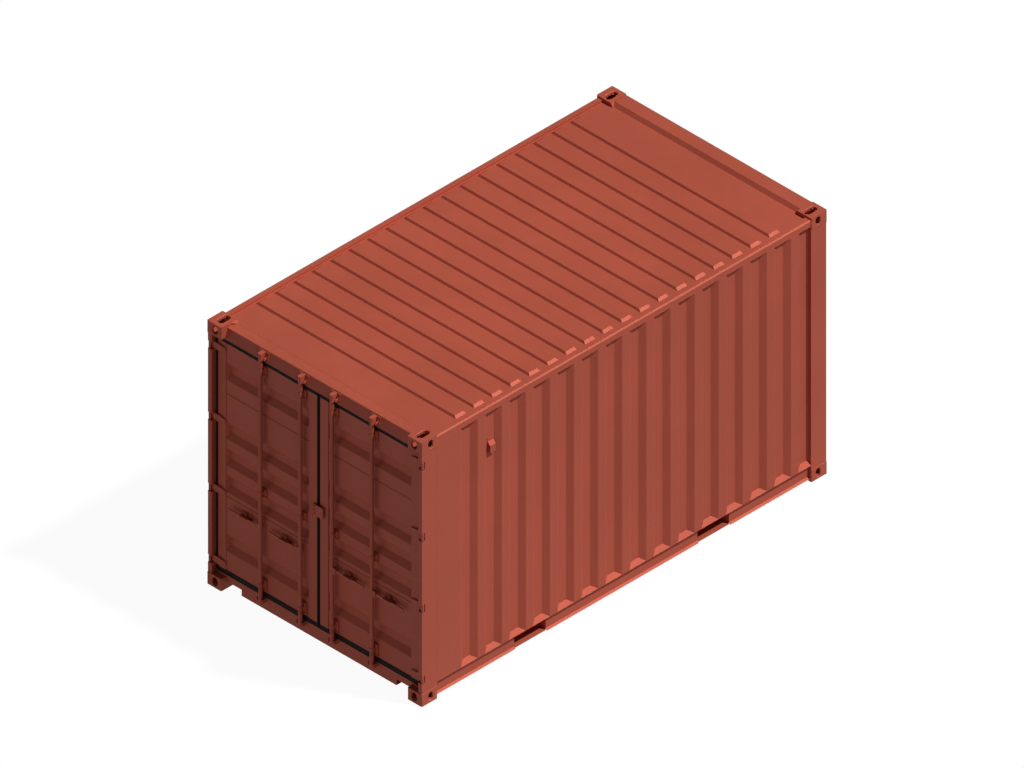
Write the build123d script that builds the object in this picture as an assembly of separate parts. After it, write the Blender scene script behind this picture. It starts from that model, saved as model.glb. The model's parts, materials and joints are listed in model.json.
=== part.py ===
"""A closed steel shipping container, fifteen feet long, with double doors at one end.

Frame: origin on the ground under the middle, X across, Y along, Z up, millimetres.
The doors face -Y. Left and right are as seen by someone who faces the doors.
Most places are given as an inset from a side plane (a), from the door plane (b)
or from the closed end's plane (c), all measured inwards from the fittings' faces.
"""
import os

from build123d import *

# Overall size, over the corner fittings
WIDTH = 2438
LENGTH = 4600
HEIGHT = 2591

# Corner fittings: hollow castings with one lifting and two lashing apertures
FITTING_WIDE = 162
FITTING_LONG = 178
FITTING_TALL = 118
FITTING_PLATE = 28
FITTING_WALL = 16
FITTING_EDGE = 8
LIFT_SLOT_LONG = 124
LIFT_SLOT_WIDE = 63.5
LASH_SLOT_TALL = 79
LASH_SLOT_SIDE = 51
LASH_SLOT_FRONT = 63.5
APERTURE_FROM_SIDE = 89
APERTURE_FROM_END = 101.5

# Sheets and plates
SHEET = 3
PLATE = 6

# Posts, all as deep as the fittings are long
POST_INSET = 4
POST_WIDE = 44
POST_FRONT = 6
END_POST_FACE = FITTING_WIDE

# Rails, sills and headers
TOP_RAIL = 60
TOP_RAIL_INSET = 6
TOP_RAIL_DROP = 18
TOP_RAIL_CHAMFER = 11
BOTTOM_RAIL_TOP = 162
BOTTOM_RAIL_WEB = 33
BOTTOM_RAIL_GAUGE = 4.5
BOTTOM_RAIL_LIP_TOP = 43
BOTTOM_RAIL_LIP = 17
BOTTOM_RAIL_LIP_CUT = 0.7
BOTTOM_RAIL_FLANGE = 6
HEADER_LIP = 42
HEADER_LIP_DROP = 131
HEADER_TOP_FACE = 73
SILL_FACE = 53
SILL_TOP = 140
SILL_FOOT = 20
SILL_FOOT_END = 79
SILL_FOOT_HALF = 879
SILL_REAR_STEP = 5
END_HEADER_DEEP = 136
END_HEADER_DROP = 5
END_SILL_DEEP = 60

# Roof and floor
ROOF_DROP = 36
ROOF_RIBS = 18
ROOF_RIB_PITCH = 209.5
ROOF_RIB_FIRST = 471
ROOF_RIB_BASE = 115
ROOF_RIB_TOP = 90
ROOF_RIB_HIGH = 19
ROOF_RIB_HALF = 1135
ROOF_RIB_END_SLOPE = 25
FLOOR_TOP = 167
FLOOR_THICK = 28
FLOOR_GAP = 2
CROSS_MEMBER_DEEP = 122
CROSS_MEMBER_FLANGE = 45
CROSS_MEMBER_GAUGE = 4
CROSS_MEMBER_PITCH = 300

# Fork pockets
FORK_SPACING = 2080
FORK_WIDE = 360
FORK_STRAP_Z = 43
FORK_STRAP_THICK = 8
FORK_STRAP_DEEP = 200
FORK_GAUGE = 4

# Side and end corrugations: trapezoid recesses pressed in a flat sheet
SIDE_INSET = 4
RECESS_PITCH = 273.5
RECESS_FIRST = 447
RECESS_COUNT = 15
RECESS_MOUTH = 192
RECESS_SLOPE = 56
RECESS_DEEP = 36
RECESS_END_SLOPE = 40
RECESS_TOP_SLOPE = 12
RECESS_MARGIN = 1
END_RECESS_COUNT = 8
END_RECESS_PITCH = 262

# Ventilators
VENT_FROM_DOOR = 795
VENT_WIDE = 100
VENT_FOOT_DROP = 506
VENT_TOP_DROP = 316
VENT_CAP_SLOPE = 60

# Door leaves
LEAF_SIDE_GAP = 79
LEAF_CENTRE_GAP = 37
LEAF_FACE = 48.5
LEAF_THICK = 50
LEAF_BOTTOM = 191
LEAF_TOP_DROP = 170
HINGE_STILE = 87
CENTRE_STILE = 91
LEAF_RAIL = 100
TUBE_WALL = 4
PANEL_STEP = 4.5
PANEL_RECESS_TALL = 175
PANEL_RECESS_SLOPE = 53
PANEL_RECESS_DEEP = 36
PANEL_RECESS_END = 24
PANEL_RECESS_PITCH = 261
PANEL_RECESS_OUTER = 842
GASKET_FRONT = 60
GASKET_BACK = 95
GASKET_SIDE = 23
GASKET_CENTRE = 14
GASKET_OVER = 26

# Hinges
HINGE_FROM_SIDE = 14
HINGE_FROM_DOOR = 22
HINGE_FIRST = 253
HINGE_LAST_DROP = 238
HINGE_COUNT = 4
PIN_RADIUS = 8
PIN_CLEARANCE = 0.4
KNUCKLE_RADIUS = 13
BLADE_TALL = 68
NECK_CLEARANCE = 2
BLADE_THICK = 11.5
BLADE_END = 165
NOTCH_TALL = 75
NOTCH_DEEP = 40
NOTCH_MARGIN = 2
LUG_THICK = 12

# Lock rods, cams, keepers and handles
ROD_RADIUS = 17
ROD_FROM_DOOR = 20
ROD_INNER = 180
ROD_OUTER = 632
ROD_BOTTOM = 100
ROD_TOP_DROP = 35
CAM_TALL = 30
CAM_REACH = 20
CAM_Z_LOW = 112
CAM_TOP_DROP = 76
CAM_HALF = 8
KEEPER_HALF = 34
KEEPER_THICK = 8
KEEPER_ABOVE_LIP = 5
KEEPER_TALL = 70
KEEPER_GAP = 1
BRACKET_Z = (290, 1190, HEIGHT - 261)
BRACKET_TALL = (110, 75, 110)
BRACKET_HALF = 45
BRACKET_PLATE = 8
BEARING_TALL = 40
BEARING_CLEARANCE = 0.5
BEARING_WALL = 2.5
HANDLE_Z = 828
HANDLE_LONG = 340
HANDLE_TALL = 26
HANDLE_THICK = 10
HANDLE_FROM_ROD = 5
HUB_TALL = 60
HUB_REACH = 46
HUB_CHEEK = 6
HUB_PIN_RADIUS = 4
HANDLE_PIVOT = 34
HANDLE_GAP = 1
RETAINER_FROM_ROD = 183
RETAINER_WIDE = 120
RETAINER_TALL = 60
RETAINER_THICK = 6
RETAINER_LEDGE = 20

# Overlap plate on the left leaf
OVERLAP_LEFT = -54
OVERLAP_RIGHT = 68
OVERLAP_LOW = 1228
OVERLAP_HIGH = 1358
OVERLAP_THICK = 8
OVERLAP_PROUD = 12

SIDE_X = WIDTH / 2
DOOR_Y = -LENGTH / 2
END_Y = LENGTH / 2
ROOF_Z = HEIGHT - ROOF_DROP
TOP_RAIL_TOP = HEIGHT - TOP_RAIL_DROP
TOP_RAIL_BOTTOM = TOP_RAIL_TOP - TOP_RAIL
FLOOR_BOTTOM = FLOOR_TOP - FLOOR_THICK
HEADER_LIP_Z = HEIGHT - HEADER_LIP_DROP
LEAF_TOP = HEIGHT - LEAF_TOP_DROP
ROD_TOP = HEIGHT - ROD_TOP_DROP


def block(x0, x1, y0, y1, z0, z1):
    """A plain box between six planes."""
    centre = ((x0 + x1) / 2, (y0 + y1) / 2, (z0 + z1) / 2)
    return Pos(*centre) * Box(abs(x1 - x0), abs(y1 - y0), abs(z1 - z0))


def cross_prism(points, x0, x1):
    """A prism along X over an outline of (y, z) points."""
    section = Plane.YZ.offset(x0) * make_face(Polyline(points, close=True))
    return extrude(section, x1 - x0, dir=(1, 0, 0))


def long_prism(points, y0, y1):
    """A prism along Y over an outline of (x, z) points."""
    face = make_face(Polyline([(x, y0, z) for x, z in points], close=True))
    return extrude(face, y1 - y0, dir=(0, 1, 0))


def to_left(shape):
    return mirror(shape, about=Plane.YZ)


def rectangle_on(plane, u0, u1, v0, v1, height):
    """A rectangle between four lines, at a height over a plane."""
    return plane.offset(height) * Pos((u0 + u1) / 2, (v0 + v1) / 2) * Rectangle(u1 - u0, v1 - v0)


def frustum(plane, u0, u1, v0, v1, u_low, u_high, v_low, v_high, deep):
    """A pit below a plane: its mouth, and how far each side slopes in at its floor."""
    mouth = rectangle_on(plane, u0, u1, v0, v1, 0)
    floor = rectangle_on(plane, u0 + u_low, u1 - u_high, v0 + v_low, v1 - v_high, -deep)
    return loft([mouth, floor])


def pressed_sheet(plane, outline, pits, deep):
    """A flat sheet under a plane with pits pressed in it, of even thickness."""
    u0, u1, v0, v1 = outline
    slab = extrude(rectangle_on(plane, u0, u1, v0, v1, -SHEET), SHEET)
    limit = extrude(rectangle_on(plane, u0, u1, v0, v1, -deep - 2 * SHEET), deep + 2 * SHEET)
    backs = []
    fronts = []
    for p0, p1, q0, q1, a_low, a_high, b_low, b_high in pits:
        fronts.append(frustum(plane, p0, p1, q0, q1, a_low, a_high, b_low, b_high, deep))
        below = plane.offset(-SHEET)
        backs.append(frustum(below, p0 - SHEET / 2, p1 + SHEET / 2, q0 - SHEET / 2, q1 + SHEET / 2,
                             a_low, a_high, b_low, b_high, deep))
    return ((slab + backs) & limit) - fronts


def corner_fitting():
    """The bottom fitting at the doors' right: aperture faces down, out and to the front."""
    x1 = SIDE_X
    x0 = x1 - FITTING_WIDE
    y0 = DOOR_Y
    y1 = y0 + FITTING_LONG
    body = block(x0, x1, y0, y1, 0, FITTING_TALL)
    body = fillet(body.edges().filter_by(Axis.Z), FITTING_EDGE)
    room = block(x0 + FITTING_WALL, x1 - FITTING_WALL, y0 + FITTING_WALL, y1 - FITTING_WALL,
                 FITTING_PLATE, FITTING_TALL - FITTING_WALL)
    hole_x = x1 - APERTURE_FROM_SIDE
    hole_y = y0 + APERTURE_FROM_END
    hole_z = FITTING_TALL / 2
    lift = Pos(hole_x, hole_y, 0) * Rot(0, 0, 90) * extrude(
        SlotOverall(LIFT_SLOT_LONG, LIFT_SLOT_WIDE), FITTING_PLATE + 1)
    side = Plane.YZ.offset(x1) * Pos(hole_y, hole_z) * Rot(0, 0, 90) * SlotOverall(
        LASH_SLOT_TALL, LASH_SLOT_SIDE)
    front = Plane.XZ.offset(-y0) * Pos(hole_x, hole_z) * Rot(0, 0, 90) * SlotOverall(
        LASH_SLOT_TALL, LASH_SLOT_FRONT)
    side_cut = extrude(side, FITTING_WALL + 1, dir=(-1, 0, 0))
    front_cut = extrude(front, FITTING_WALL + 1, dir=(0, 1, 0))
    return body - room - lift - side_cut - front_cut


def fitting_pairs():
    """The eight fittings, as one pair for each end and level."""
    right = corner_fitting()
    pairs = {}
    for end, at_door in (("door", True), ("end", False)):
        low = right if at_door else mirror(right, about=Plane.XZ)
        high = mirror(low, about=Plane.XY.offset(HEIGHT / 2))
        for level, piece in (("bottom", low), ("top", high)):
            pairs[f"corner_fittings_{end}_{level}"] = [piece, to_left(piece)]
    return pairs


def hinge_levels():
    pitch = (HEIGHT - HINGE_LAST_DROP - HINGE_FIRST) / (HINGE_COUNT - 1)
    return [HINGE_FIRST + pitch * i for i in range(HINGE_COUNT)]


def hinge_point():
    """The right-hand hinge pins' axis in plan."""
    return SIDE_X - HINGE_FROM_SIDE, DOOR_Y + HINGE_FROM_DOOR


def door_post():
    """A hollow post, notched at its outer front corner for each hinge."""
    x1 = SIDE_X - POST_INSET
    x0 = x1 - POST_WIDE
    y0 = DOOR_Y + POST_FRONT
    y1 = DOOR_Y + FITTING_LONG
    z0 = FITTING_TALL
    z1 = HEIGHT - FITTING_TALL
    post = block(x0, x1, y0, y1, z0, z1)
    post -= block(x0 + PLATE, x1 - PLATE, y0 + PLATE, y1 - PLATE, z0, z1)
    for z in hinge_levels():
        half = NOTCH_TALL / 2
        lug_half = half + LUG_THICK
        corner = block(x0 + PLATE, SIDE_X, DOOR_Y, DOOR_Y + NOTCH_DEEP, z - lug_half, z + lug_half)
        inner = block(x0, x0 + PLATE, DOOR_Y, DOOR_Y + LEAF_FACE + NOTCH_MARGIN,
                      z - half, z + half)
        post -= corner + inner
    return post


def hinge_lugs():
    """Lugs above and below each notch, flush with the post, with the pin through them."""
    pin_x, pin_y = hinge_point()
    x1 = SIDE_X - POST_INSET
    x0 = x1 - POST_WIDE + PLATE
    y0 = DOOR_Y + POST_FRONT
    pieces = []
    for z in hinge_levels():
        top = z + NOTCH_TALL / 2
        bottom = z - NOTCH_TALL / 2
        pins = Pos(pin_x, pin_y, z) * Cylinder(PIN_RADIUS, NOTCH_TALL + 2 * LUG_THICK)
        upper = block(x0, x1, y0, DOOR_Y + NOTCH_DEEP, top, top + LUG_THICK)
        lower = block(x0, x1, y0, DOOR_Y + NOTCH_DEEP, bottom - LUG_THICK, bottom)
        pieces.append(upper + lower + pins)
    return pieces


def end_post():
    """An L-shaped hollow corner post at the closed end."""
    x1 = SIDE_X - POST_INSET
    y1 = END_Y - POST_INSET
    y0 = END_Y - FITTING_LONG
    inner_x = x1 - POST_WIDE
    inner_y = y1 - POST_WIDE
    x0 = SIDE_X - END_POST_FACE
    outline = [(x1, y0), (x1, y1), (x0, y1), (x0, inner_y), (inner_x, inner_y), (inner_x, y0)]
    z0 = FITTING_TALL
    z1 = HEIGHT - FITTING_TALL
    face = make_face(Polyline(outline, close=True))
    hollow = offset(face, amount=-PLATE, kind=Kind.INTERSECTION)
    return Pos(0, 0, z0) * extrude(face - hollow, z1 - z0)


def rod_places():
    """Each lock rod's name, side and axis across the doors."""
    return [("left_outer", -1, -ROD_OUTER), ("left_inner", -1, -ROD_INNER),
            ("right_inner", 1, ROD_INNER), ("right_outer", 1, ROD_OUTER)]


def header_outline():
    """The header's section, its front face leaning back."""
    y_lip = DOOR_Y + HEADER_LIP
    y_face = DOOR_Y + HEADER_TOP_FACE
    y_back = DOOR_Y + FITTING_LONG
    return [(y_lip, HEADER_LIP_Z), (y_face, ROOF_Z), (y_back, ROOF_Z), (y_back, HEADER_LIP_Z)]


def door_header():
    """A folded box beam over the doors."""
    x1 = SIDE_X - POST_INSET - POST_WIDE
    y_back = DOOR_Y + FITTING_LONG
    face = make_face(Polyline(header_outline(), close=True))
    hollow = offset(face, amount=-PLATE, kind=Kind.INTERSECTION)
    beam = extrude(Plane.YZ.offset(-x1) * (face - hollow), 2 * x1, dir=(1, 0, 0))
    for side in (-1, 1):
        inner = side * (SIDE_X - FITTING_WIDE)
        beam -= block(inner, side * SIDE_X, DOOR_Y, y_back,
                      HEIGHT - FITTING_TALL, HEIGHT)
    return beam


def door_sill():
    """A folded box beam under the doors, shallower towards its ends."""
    half = SIDE_X - FITTING_WIDE
    wide = SIDE_X - POST_INSET - POST_WIDE
    y0 = DOOR_Y + SILL_FACE
    y1 = DOOR_Y + FITTING_LONG
    outer = [(y0, SILL_FOOT), (y0, SILL_TOP), (y1 - 2 * PLATE, FLOOR_BOTTOM + SILL_REAR_STEP),
             (y1, FLOOR_BOTTOM + SILL_REAR_STEP), (y1, SILL_FOOT)]
    face = make_face(Polyline(outer, close=True))
    hollow = offset(face, amount=-PLATE, kind=Kind.INTERSECTION)
    beam = extrude(Plane.YZ.offset(-wide) * (face - hollow), 2 * wide, dir=(1, 0, 0))
    for side in (-1, 1):
        beam -= block(side * half, side * SIDE_X, DOOR_Y, y1, 0, FITTING_TALL)
        beam -= block(side * SILL_FOOT_HALF, side * half, DOOR_Y, y1 + 1, 0, SILL_FOOT_END)
    return beam


def end_header():
    """A box beam over the closed end, just below the fittings' tops."""
    half = SIDE_X - FITTING_WIDE
    y1 = END_Y - END_HEADER_DROP
    y0 = END_Y - END_HEADER_DEEP
    z1 = HEIGHT - END_HEADER_DROP
    beam = block(-half, half, y0, y1, TOP_RAIL_BOTTOM, z1)
    return beam - block(-half, half, y0 + PLATE, y1 - PLATE, TOP_RAIL_BOTTOM + PLATE, z1 - PLATE)


def end_sill():
    """A box beam under the closed end, from fitting to fitting."""
    half = SIDE_X - FITTING_WIDE
    y1 = END_Y - POST_INSET
    y0 = y1 - END_SILL_DEEP
    beam = block(-half, half, y0, y1, SILL_FOOT, BOTTOM_RAIL_TOP)
    return beam - block(-half, half, y0 + PLATE, y1 - PLATE, SILL_FOOT + PLATE,
                        BOTTOM_RAIL_TOP - PLATE)


def top_rail():
    """A square tube with its outer top edge broken."""
    x1 = SIDE_X - TOP_RAIL_INSET
    x0 = x1 - TOP_RAIL
    outline = [(x0, TOP_RAIL_BOTTOM), (x1, TOP_RAIL_BOTTOM), (x1, TOP_RAIL_TOP - TOP_RAIL_CHAMFER),
               (x1 - TOP_RAIL_CHAMFER, TOP_RAIL_TOP), (x0, TOP_RAIL_TOP)]
    y0 = DOOR_Y + FITTING_LONG
    y1 = END_Y - FITTING_LONG
    tube = long_prism(outline, y0, y1)
    inner = [(x0 + PLATE, TOP_RAIL_BOTTOM + PLATE), (x1 - PLATE, TOP_RAIL_BOTTOM + PLATE),
             (x1 - PLATE, TOP_RAIL_TOP - PLATE - TOP_RAIL_CHAMFER),
             (x1 - PLATE - TOP_RAIL_CHAMFER, TOP_RAIL_TOP - PLATE), (x0 + PLATE, TOP_RAIL_TOP - PLATE)]
    return tube - long_prism(inner, y0, y1)


def fork_centres():
    return [-FORK_SPACING / 2, FORK_SPACING / 2]


def bottom_rail():
    """An open section: flange under the wall, set-back web, and a lip that leans out."""
    web = SIDE_X - BOTTOM_RAIL_WEB
    top = BOTTOM_RAIL_TOP
    gauge = BOTTOM_RAIL_GAUGE
    lip_x = web + BOTTOM_RAIL_LIP
    lip_z = BOTTOM_RAIL_LIP_TOP - BOTTOM_RAIL_LIP
    run = gauge * BOTTOM_RAIL_LIP_CUT
    outline = [(web - gauge, top), (SIDE_X - BOTTOM_RAIL_FLANGE, top),
               (SIDE_X - BOTTOM_RAIL_FLANGE, top - gauge), (web, top - gauge),
               (web, BOTTOM_RAIL_LIP_TOP), (lip_x, lip_z), (lip_x - run, lip_z - run),
               (web - gauge, BOTTOM_RAIL_LIP_TOP - run)]
    rail = long_prism(outline, DOOR_Y + FITTING_LONG, END_Y - FITTING_LONG)
    for y in fork_centres():
        rail -= block(web - 2 * gauge, SIDE_X, y - FORK_WIDE / 2, y + FORK_WIDE / 2,
                      0, FLOOR_BOTTOM - FORK_GAUGE)
    return rail


def wall_plane():
    """The right side wall's outer face, drawn along Y and Z."""
    return Plane.YZ.offset(SIDE_X - SIDE_INSET)


def wall_pit(index):
    """One recess of the side wall, counted from the doors."""
    start = DOOR_Y + RECESS_FIRST + RECESS_PITCH * index
    return (start, start + RECESS_MOUTH, BOTTOM_RAIL_TOP + RECESS_MARGIN,
            TOP_RAIL_BOTTOM - RECESS_MARGIN,
            RECESS_SLOPE, RECESS_SLOPE, RECESS_END_SLOPE, RECESS_TOP_SLOPE)


def side_wall():
    """A flat sheet with vertical trapezoid recesses, standing on the bottom rail."""
    outline = (DOOR_Y + FITTING_LONG, END_Y - FITTING_LONG, BOTTOM_RAIL_TOP, TOP_RAIL_BOTTOM)
    pits = [wall_pit(i) for i in range(RECESS_COUNT)]
    return pressed_sheet(wall_plane(), outline, pits, RECESS_DEEP)


def end_wall():
    """The closed end's sheet, with vertical recesses between the end posts."""
    plane = Plane(origin=(0, END_Y - POST_INSET, 0), x_dir=(-1, 0, 0), z_dir=(0, 1, 0))
    half = SIDE_X - END_POST_FACE
    z0 = BOTTOM_RAIL_TOP
    z1 = TOP_RAIL_BOTTOM
    pits = []
    for i in range(END_RECESS_COUNT):
        middle = END_RECESS_PITCH * (i - (END_RECESS_COUNT - 1) / 2)
        pits.append((middle - RECESS_MOUTH / 2, middle + RECESS_MOUTH / 2,
                     z0 + RECESS_MARGIN, z1 - RECESS_MARGIN,
                     RECESS_SLOPE, RECESS_SLOPE, RECESS_END_SLOPE, RECESS_TOP_SLOPE))
    return pressed_sheet(plane, (-half, half, z0, z1), pits, RECESS_DEEP)


def roof_panel():
    """The roof sheet, with raised ribs across it."""
    half = SIDE_X - TOP_RAIL_INSET - TOP_RAIL
    y0 = DOOR_Y + FITTING_LONG
    y1 = END_Y - END_HEADER_DEEP
    under = Plane(origin=(0, 0, ROOF_Z - SHEET), x_dir=(1, 0, 0), z_dir=(0, 0, -1))
    slope = (ROOF_RIB_BASE - ROOF_RIB_TOP) / 2
    pits = []
    for i in range(ROOF_RIBS):
        start = DOOR_Y + ROOF_RIB_FIRST + ROOF_RIB_PITCH * i
        pits.append((-ROOF_RIB_HALF, ROOF_RIB_HALF, -start - ROOF_RIB_BASE, -start,
                     ROOF_RIB_END_SLOPE, ROOF_RIB_END_SLOPE, slope, slope))
    sheet = pressed_sheet(under, (-half, half, -y1, -y0), pits, ROOF_RIB_HIGH)
    for side in (-1, 1):
        inner = side * (SIDE_X - FITTING_WIDE)
        sheet -= block(inner, side * SIDE_X, END_Y - FITTING_LONG, END_Y, 0, HEIGHT)
    return sheet


def floor_boards():
    half = SIDE_X - SIDE_INSET - RECESS_DEEP - SHEET - FLOOR_GAP
    y0 = DOOR_Y + FITTING_LONG
    y1 = END_Y - POST_INSET - END_SILL_DEEP - FLOOR_GAP
    boards = block(-half, half, y0, y1, FLOOR_BOTTOM, FLOOR_TOP)
    for side in (-1, 1):
        post = SIDE_X - POST_INSET - POST_WIDE - FLOOR_GAP
        boards -= block(side * post, side * SIDE_X, END_Y - FITTING_LONG - FLOOR_GAP, END_Y,
                        0, HEIGHT)
    return boards


def cross_members():
    """Channels under the floor between the bottom rails, clear of the fork pockets."""
    half = SIDE_X - BOTTOM_RAIL_WEB - BOTTOM_RAIL_GAUGE
    z0 = FLOOR_BOTTOM - CROSS_MEMBER_DEEP
    z1 = FLOOR_BOTTOM
    clear = FORK_WIDE / 2 + FORK_GAUGE + CROSS_MEMBER_FLANGE
    count = round((LENGTH / 2 - FITTING_LONG - CROSS_MEMBER_FLANGE) / CROSS_MEMBER_PITCH)
    pieces = []
    for i in range(-count + 1, count):
        y = i * CROSS_MEMBER_PITCH
        if any(abs(y - fork) < clear for fork in fork_centres()):
            continue
        y1 = y + CROSS_MEMBER_FLANGE
        gauge = CROSS_MEMBER_GAUGE
        outline = [(y, z0), (y1, z0), (y1, z0 + gauge), (y + gauge, z0 + gauge),
                   (y + gauge, z1 - gauge), (y1, z1 - gauge), (y1, z1), (y, z1)]
        pieces.append(cross_prism(outline, -half, half))
    return pieces


def fork_pockets():
    """Two open-ended tunnels for fork arms, with a strap under each mouth."""
    half = SIDE_X - BOTTOM_RAIL_WEB - BOTTOM_RAIL_GAUGE
    pieces = []
    for y in fork_centres():
        y0 = y - FORK_WIDE / 2
        y1 = y + FORK_WIDE / 2
        gauge = FORK_GAUGE
        low = FORK_STRAP_Z
        outline = [(y0 - gauge, low), (y0 - gauge, FLOOR_BOTTOM), (y1 + gauge, FLOOR_BOTTOM),
                   (y1 + gauge, low), (y1, low), (y1, FLOOR_BOTTOM - gauge),
                   (y0, FLOOR_BOTTOM - gauge), (y0, low)]
        tunnel = cross_prism(outline, -half, half)
        for side in (-1, 1):
            tunnel += block(side * (half - FORK_STRAP_DEEP), side * half, y0, y1,
                            low, low + FORK_STRAP_THICK)
        pieces.append(tunnel)
    return pieces


def ventilator():
    """A louvred box in a wall recess, its cap sloping outwards and down."""
    y0 = DOOR_Y + VENT_FROM_DOOR - VENT_WIDE / 2
    x1 = SIDE_X - SIDE_INSET
    x0 = x1 - RECESS_DEEP
    foot = HEIGHT - VENT_FOOT_DROP
    top = HEIGHT - VENT_TOP_DROP
    outline = [(x0, foot), (x1, foot), (x1, top - VENT_CAP_SLOPE), (x0, top)]
    return long_prism(outline, y0, y0 + VENT_WIDE) & frustum(wall_plane(), *wall_pit(1), RECESS_DEEP)


def keeper(x, z0, z1, y_back):
    """Two cheeks astride a rod end, joined at the back."""
    y0 = DOOR_Y + POST_FRONT
    back = y_back - KEEPER_THICK
    outer = block(x - KEEPER_HALF, x + KEEPER_HALF, y0, y_back, z0, z1)
    gap = KEEPER_HALF - KEEPER_THICK
    return outer - block(x - gap, x + gap, y0, back, z0, z1)


def rod_keepers():
    """A keeper on the sill and one on the header for each lock rod."""
    pieces = []
    half = SIDE_X - FITTING_WIDE
    beam = cross_prism(header_outline(), -half, half)
    for _, _, x in rod_places():
        low = HEADER_LIP_Z + KEEPER_ABOVE_LIP
        pieces.append(keeper(x, ROD_BOTTOM, SILL_TOP - KEEPER_GAP, DOOR_Y + SILL_FACE))
        pieces.append(keeper(x, low, low + KEEPER_TALL, DOOR_Y + HEADER_TOP_FACE) - beam)
    return pieces


def leaf_bounds():
    """The right leaf's edges across the doors: centre edge and hinge edge."""
    return LEAF_CENTRE_GAP / 2, SIDE_X - LEAF_SIDE_GAP


def door_frame():
    """Two tube stiles and two tube rails."""
    x0, x1 = leaf_bounds()
    y0 = DOOR_Y + LEAF_FACE
    y1 = y0 + LEAF_THICK
    t = TUBE_WALL
    stiles = []
    for left, right in ((x0, x0 + CENTRE_STILE), (x1 - HINGE_STILE, x1)):
        tube = block(left, right, y0, y1, LEAF_BOTTOM, LEAF_TOP)
        stiles.append(tube - block(left + t, right - t, y0 + t, y1 - t, LEAF_BOTTOM, LEAF_TOP))
    rail_y0 = y0 + PANEL_STEP + SHEET
    rails = []
    for z in (LEAF_BOTTOM, LEAF_TOP - LEAF_RAIL):
        tube = block(x0 + CENTRE_STILE, x1 - HINGE_STILE, rail_y0, y1, z, z + LEAF_RAIL)
        rails.append(tube - block(x0 + CENTRE_STILE, x1 - HINGE_STILE, rail_y0 + t, y1 - t,
                                  z + t, z + LEAF_RAIL - t))
    return stiles[0] + stiles[1] + rails[0] + rails[1]


def panel_recess_levels():
    middle = (LEAF_BOTTOM + LEAF_TOP) / 2
    steps = (-PANEL_RECESS_OUTER, -PANEL_RECESS_PITCH, 0, PANEL_RECESS_PITCH, PANEL_RECESS_OUTER)
    return [middle + step for step in steps]


def door_panel():
    """A sheet between the stiles with five pressed recesses across it."""
    x0, x1 = leaf_bounds()
    plane = Plane.XZ.offset(-(DOOR_Y + LEAF_FACE + PANEL_STEP))
    left = x0 + CENTRE_STILE
    right = x1 - HINGE_STILE
    pits = []
    for z in panel_recess_levels():
        half = PANEL_RECESS_TALL / 2
        pits.append((left + SHEET, right - SHEET, z - half, z + half, PANEL_RECESS_END,
                     PANEL_RECESS_END, PANEL_RECESS_SLOPE, PANEL_RECESS_SLOPE))
    return pressed_sheet(plane, (left, right, LEAF_BOTTOM, LEAF_TOP), pits, PANEL_RECESS_DEEP)


def door_gasket():
    """A rubber seal round the leaf, wider on the hinge side."""
    x0, x1 = leaf_bounds()
    y0 = DOOR_Y + GASKET_FRONT
    y1 = DOOR_Y + GASKET_BACK
    outer = block(x0 - GASKET_CENTRE, x1 + GASKET_SIDE, y0, y1, LEAF_BOTTOM - GASKET_OVER,
                  LEAF_TOP + GASKET_OVER)
    return outer - block(x0, x1, y0, y1, LEAF_BOTTOM, LEAF_TOP)


def hinge_blades():
    """Gooseneck blades: a knuckle on the pin, a neck, and a strap on the leaf's face."""
    pin_x, pin_y = hinge_point()
    strap_back = DOOR_Y + LEAF_FACE
    strap_front = strap_back - BLADE_THICK
    x_end = SIDE_X - BLADE_END
    neck_x = SIDE_X - POST_INSET - PLATE - NECK_CLEARANCE
    pieces = []
    for z in hinge_levels():
        low = z - BLADE_TALL / 2
        knuckle = Pos(pin_x, pin_y, z) * Cylinder(KNUCKLE_RADIUS, BLADE_TALL)
        neck = block(pin_x - KNUCKLE_RADIUS, neck_x, pin_y, strap_back, low, low + BLADE_TALL)
        strap = block(x_end, neck_x, strap_front, strap_back, low, low + BLADE_TALL)
        bore = Pos(pin_x, pin_y, z) * Cylinder(PIN_RADIUS + PIN_CLEARANCE, 2 * BLADE_TALL)
        pieces.append(knuckle + neck + strap - bore)
    return pieces


def rod_brackets(side):
    """Bearing brackets for the leaf's two rods, and a retainer for each handle."""
    pieces = []
    face = DOOR_Y + LEAF_FACE
    rod_y = DOOR_Y + ROD_FROM_DOOR
    bore_radius = ROD_RADIUS + BEARING_CLEARANCE
    for x in (side * ROD_INNER, side * ROD_OUTER):
        for z, tall in zip(BRACKET_Z, BRACKET_TALL):
            plate = block(x - BRACKET_HALF, x + BRACKET_HALF, face - BRACKET_PLATE, face + PANEL_STEP,
                          z - tall / 2, z + tall / 2)
            barrel = Pos(x, rod_y, z) * Cylinder(bore_radius + BEARING_WALL, BEARING_TALL)
            web = block(x - bore_radius, x + bore_radius, rod_y, face - BRACKET_PLATE,
                        z - BEARING_TALL / 2, z + BEARING_TALL / 2)
            bore = Pos(x, rod_y, z) * Cylinder(bore_radius, 2 * BEARING_TALL)
            pieces.append(plate + (barrel + web - bore))
        middle = x + side * RETAINER_FROM_ROD
        low = HANDLE_Z - HANDLE_TALL / 2 - HANDLE_GAP - RETAINER_THICK
        back = block(middle - RETAINER_WIDE / 2, middle + RETAINER_WIDE / 2,
                     face + PANEL_STEP - RETAINER_THICK, face + PANEL_STEP, low, low + RETAINER_TALL)
        ledge = block(middle - RETAINER_WIDE / 2, middle + RETAINER_WIDE / 2,
                      DOOR_Y + RETAINER_LEDGE, face + PANEL_STEP, low, low + RETAINER_THICK)
        pieces.append(back + ledge)
    return pieces


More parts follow.
